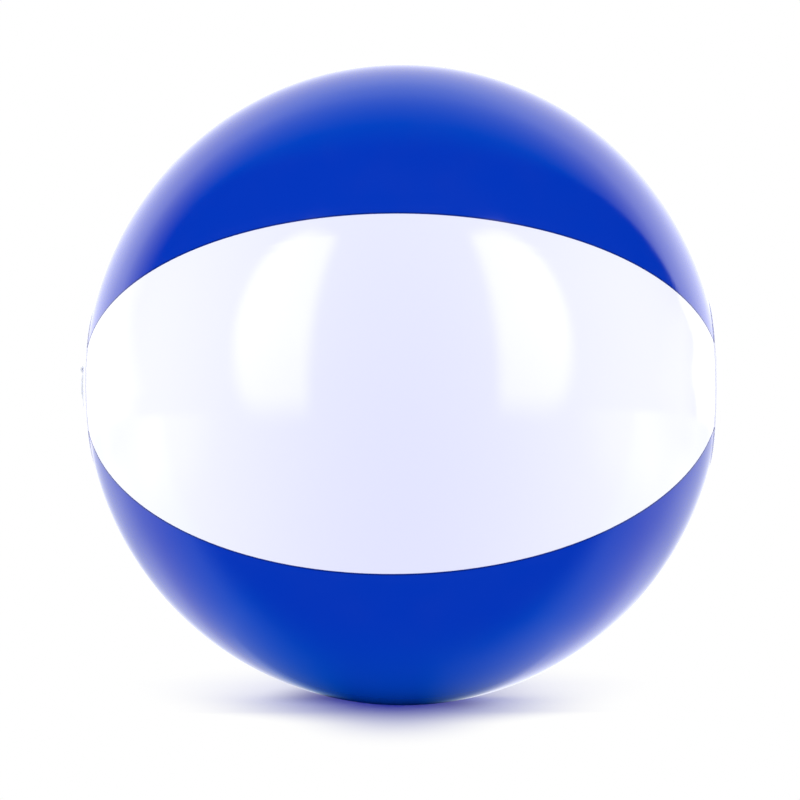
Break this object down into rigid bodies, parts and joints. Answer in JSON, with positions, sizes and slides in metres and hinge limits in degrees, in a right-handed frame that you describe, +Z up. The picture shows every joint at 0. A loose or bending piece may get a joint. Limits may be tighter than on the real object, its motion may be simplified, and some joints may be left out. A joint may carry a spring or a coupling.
{
  "type": "beach ball",
  "caption": "Inflated round beach ball of welded white and blue film panels with end discs and a push-in inflation valve with a tethered plug.",
  "frame": {"origin": "middle of the flat patch that the ball rests on", "axes": "+Z up; X along the ball's polar axis with the valve at -X; the middle of one white panel faces -Y"},
  "size_m": [0.3019, 0.2998, 0.299],
  "materials": {
    "blue_film": "gloss",
    "white_film": "gloss",
    "valve_vinyl": "gloss"
  },
  "bodies": {
    "ball": {"front_white_panel": "white_film", "upper_front_blue_panel": "blue_film", "upper_rear_white_panel": "white_film", "rear_blue_panel": "blue_film", "lower_rear_white_panel": "white_film", "lower_front_blue_panel": "blue_film", "left_end_disc": "white_film", "right_end_disc": "white_film", "valve_flange": "valve_vinyl", "valve_boot": "valve_vinyl"},
    "stem": {"valve_stem": "valve_vinyl", "plug_tether": "valve_vinyl"},
    "plug": {"valve_plug": "valve_vinyl"},
    "flap": {"check_flap": "valve_vinyl"}
  },
  "joints": [
    {"name": "stem_pull", "type": "slide", "parent": "ball", "child": "stem", "axis": [-1, 0, 0], "range_m": [0, 0.013], "deforming": ["valve_boot"]},
    {"name": "plug_swing", "type": "hinge", "parent": "stem", "child": "plug", "pos_m": [-0.151, 0, 0.15884], "axis": [0, 1, 0], "range_deg": [0, 170], "deforming": ["plug_tether"]},
    {"name": "flap_swing", "type": "hinge", "parent": "stem", "child": "flap", "pos_m": [-0.1362, 0, 0.15434], "axis": [0, -1, 0], "range_deg": [0, 65], "stiffness_Nm_per_rad": 0.0001}
  ]
}
